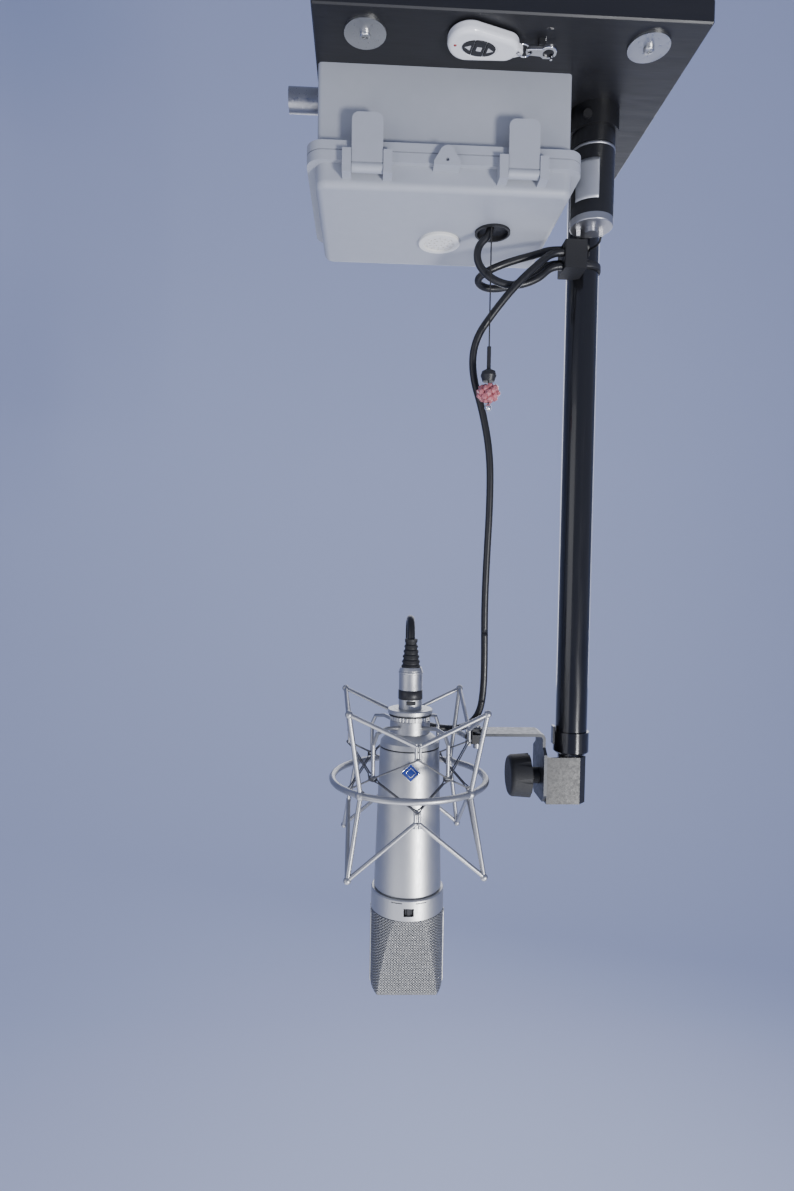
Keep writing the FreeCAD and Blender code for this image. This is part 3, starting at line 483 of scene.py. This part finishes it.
# ---------------------------------------------------------------- elastic strands
CAGE = Vector((-54.06, -13.9, -532.9))
FACES = ((0.0, 54.5), (90.0, 47.0), (180.0, 54.5), (270.0, 47.0))


def cage_point(radius, angle, z):
    a = math.radians(angle + 2.8)
    return Vector((CAGE.x + radius * math.sin(a), CAGE.y - radius * math.cos(a), CAGE.z + z))


hooks = []
for angle, radius in FACES:
    hooks.append((cage_point(radius, angle, 28.0), cage_point(radius, angle, -9.5)))
knots = [Vector((x, y, -523.5)) for x, y in ((-82.9, -50.4), (-28.1, -50.4), (-28.1, 22.6), (-82.9, 22.6))]


def strand(name, knot, hook):
    """An elastic loop: two strands that pass round the knot and the hook."""
    knot_r, hook_r, gap = 3.1, 1.8, 0.75
    middle = (0.15, 0.3, 0.5, 0.7, 0.88)
    along = (hook - knot).normalized()
    side = along.cross(Vector((0, 0, 1))).normalized()
    length = (hook - knot).length
    line = []
    for k in range(9):
        a = math.pi * k / 8
        line.append(knot - along * knot_r * math.sin(a) + side * knot_r * math.cos(a))
    for reach in middle:
        line.append(knot + along * length * reach - side * gap)
    for k in range(9):
        a = math.pi * k / 8
        line.append(knot + along * (length + hook_r * math.sin(a)) - side * hook_r * math.cos(a))
    for reach in reversed(middle):
        line.append(knot + along * length * reach + side * gap)
    verts, faces = sweep([p / 1000.0 for p in line], 0.00055, 8, True)
    obj = add_object(name, mesh_from(name, verts, faces), M["elastic"])
    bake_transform(obj)
    return obj


for k, knot in enumerate(knots):
    strand("strand_top_a%d" % k, knot, hooks[k][0])
    strand("strand_top_b%d" % k, knot, hooks[k - 1][0])
    strand("strand_low_a%d" % k, knot, hooks[k][1])
    strand("strand_low_b%d" % k, knot, hooks[k - 1][1])
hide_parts("elastic_bands")

# ---------------------------------------------------------------- motor details
MOTOR = mm(81.7, -6, 0)


def motor_label():
    """A thin foil sheet wrapped round the left front of the motor."""
    verts, faces = [], []
    steps, rise = 24, 10
    first_angle, span, low, height = -155, 66, -87.5, 30
    for radius in (16.52, 16.68):
        for j in range(rise + 1):
            for i in range(steps + 1):
                a = math.radians(first_angle + span * i / steps)
                z = low + height * j / rise
                verts.append(MOTOR + mm(radius * math.cos(a), radius * math.sin(a), z))
    row, block = steps + 1, (steps + 1) * (rise + 1)
    for j in range(rise):
        for i in range(steps):
            a = j * row + i
            faces.append((a, a + row, a + row + 1, a + 1))
            faces.append((a + block, a + block + 1, a + block + row + 1, a + block + row))
    for i in range(steps):
        faces.append((i, i + 1, i + 1 + block, i + block))
        top = rise * row
        faces.append((top + i, top + i + block, top + i + 1 + block, top + i + 1))
    for j in range(rise):
        a = j * row
        faces.append((a, a + block, a + row + block, a + row))
        b = a + steps
        faces.append((b, b + row, b + row + block, b + block))
    return add_object("motor_label", mesh_from("motor_label", verts, faces), M["label"], "ceiling_unit")


motor_label()
lathe("motor_ring", MOTOR, [(16.2, -44.9), (16.75, -45.1), (16.75, -47.1), (16.2, -47.3)], M["steel"],
      "ceiling_unit")
tubes("motor_leads",
      [([mm(90.7, -2.6, -107.2), mm(90.9, 0, -109.6), mm(90.2, 5, -110.6), mm(88.5, 10, -110.4),
         mm(87.3, 14.4, -109.5)], 0.0009, False),
       ([mm(72.7, -2.6, -107.2), mm(73.5, 0, -109.8), mm(76.5, 5.5, -111.4), mm(80.5, 11, -111.4),
         mm(83.0, 14.6, -110.4)], 0.0009, False)], M["rubber"], "ceiling_unit")

# ---------------------------------------------------------------- remote details
def mark(name, outline, z, mat, body):
    """A printed sign: a flat outline 0.12 mm thick, facing down."""
    verts = [mm(x, y, z) for x, y in outline] + [mm(x, y, z - 0.12) for x, y in outline]
    n = len(outline)
    faces = [tuple(range(n)), tuple(range(2 * n - 1, n - 1, -1))]
    faces += [(i, i + n, (i + 1) % n + n, (i + 1) % n) for i in range(n)]
    return add_object(name, mesh_from(name, verts, faces), mat, body, smooth=False)


def on_fob(points):
    """Places points drawn along the remote's own length."""
    turn, (fob_x, fob_y) = math.radians(8.0), (-17.0, -79.5)
    return [(x * math.cos(turn) - y * math.sin(turn) + fob_x,
             x * math.sin(turn) + y * math.cos(turn) + fob_y) for x, y in points]


MARK_Z = -25.08
mark("mark_up", on_fob([(-12.8, 0), (-8.9, -2.1), (-8.9, 2.1)]), MARK_Z, M["ink"], "button_up")
mark("mark_stop", on_fob([(-4.7, -1.7), (-1.3, -1.7), (-1.3, 1.7), (-4.7, 1.7)]), MARK_Z, M["ink"],
     "button_stop")
mark("mark_down", on_fob([(6.8, 0), (2.9, 2.1), (2.9, -2.1)]), MARK_Z, M["ink"], "button_down")
led_x, led_y = on_fob([(-19.2, 0.4)])[0]
lathe("fob_led", mm(led_x, led_y, 0), [(0, -24.0), (1.1, -24.0), (1.0, -24.75), (0, -24.95)], M["led"],
      "fob", 24)

# ---------------------------------------------------------------- cable tie details
TUBE = mm(86, 28, 0)
lathe("tie_band", TUBE, [(14.35, -119.2), (14.7, -119.5), (14.7, -123.5), (14.35, -123.8)], M["dark"],
      "ceiling_unit")

# ---------------------------------------------------------------- stage and light
def backdrop():
    """A pale floor that curves up into a wall far behind, so no horizon shows."""
    near, bend_at, floor_z, bend_r, wall_top = -9.0, 1.2, -1.5, 1.6, 8.0
    profile = [(near, floor_z), (bend_at, floor_z)]
    for k in range(1, 13):
        a = math.radians(k * 90 / 12)
        profile.append((bend_at + bend_r * math.sin(a), floor_z + bend_r - bend_r * math.cos(a)))
    profile.append((bend_at + bend_r, wall_top))
    verts = [Vector((x, y, z)) for y, z in profile for x in (-14.0, 14.0)]
    faces = [(2 * k, 2 * k + 1, 2 * k + 3, 2 * k + 2) for k in range(len(profile) - 1)]
    obj = add_object("pale_backdrop", mesh_from("pale_backdrop", verts, faces),
                     material("pale_paper", (0.70, 0.75, 0.92), 0.9, grain=8, bump=0.0, vary=0.02))


backdrop()


def area_light(name, at, target, size, power, color=(1, 1, 1)):
    data = bpy.data.lights.new(name, "AREA")
    data.size = size
    data.energy = power
    data.color = color
    obj = bpy.data.objects.new(name, data)
    obj.location = at
    obj.rotation_euler = (Vector(target) - Vector(at)).to_track_quat("-Z", "Y").to_euler()
    bpy.context.collection.objects.link(obj)


area_light("key", (0.75, -1.25, -1.05), (0, 0, -0.2), 0.28, 27)
area_light("fill", (-1.4, -1.1, -0.4), (0, 0, -0.4), 1.2, 6)
area_light("back", (0.3, 1.2, -0.1), (0, 0, -0.4), 1.2, 9)
area_light("under", (-0.2, -0.4, -1.2), (0, 0, -0.2), 1.0, 5)
world = bpy.data.worlds.new("world")
world.use_nodes = True
world.node_tree.nodes["Background"].inputs[0].default_value = (0.48, 0.54, 0.80, 1)
world.node_tree.nodes["Background"].inputs[1].default_value = 0.6
bpy.context.scene.world = world
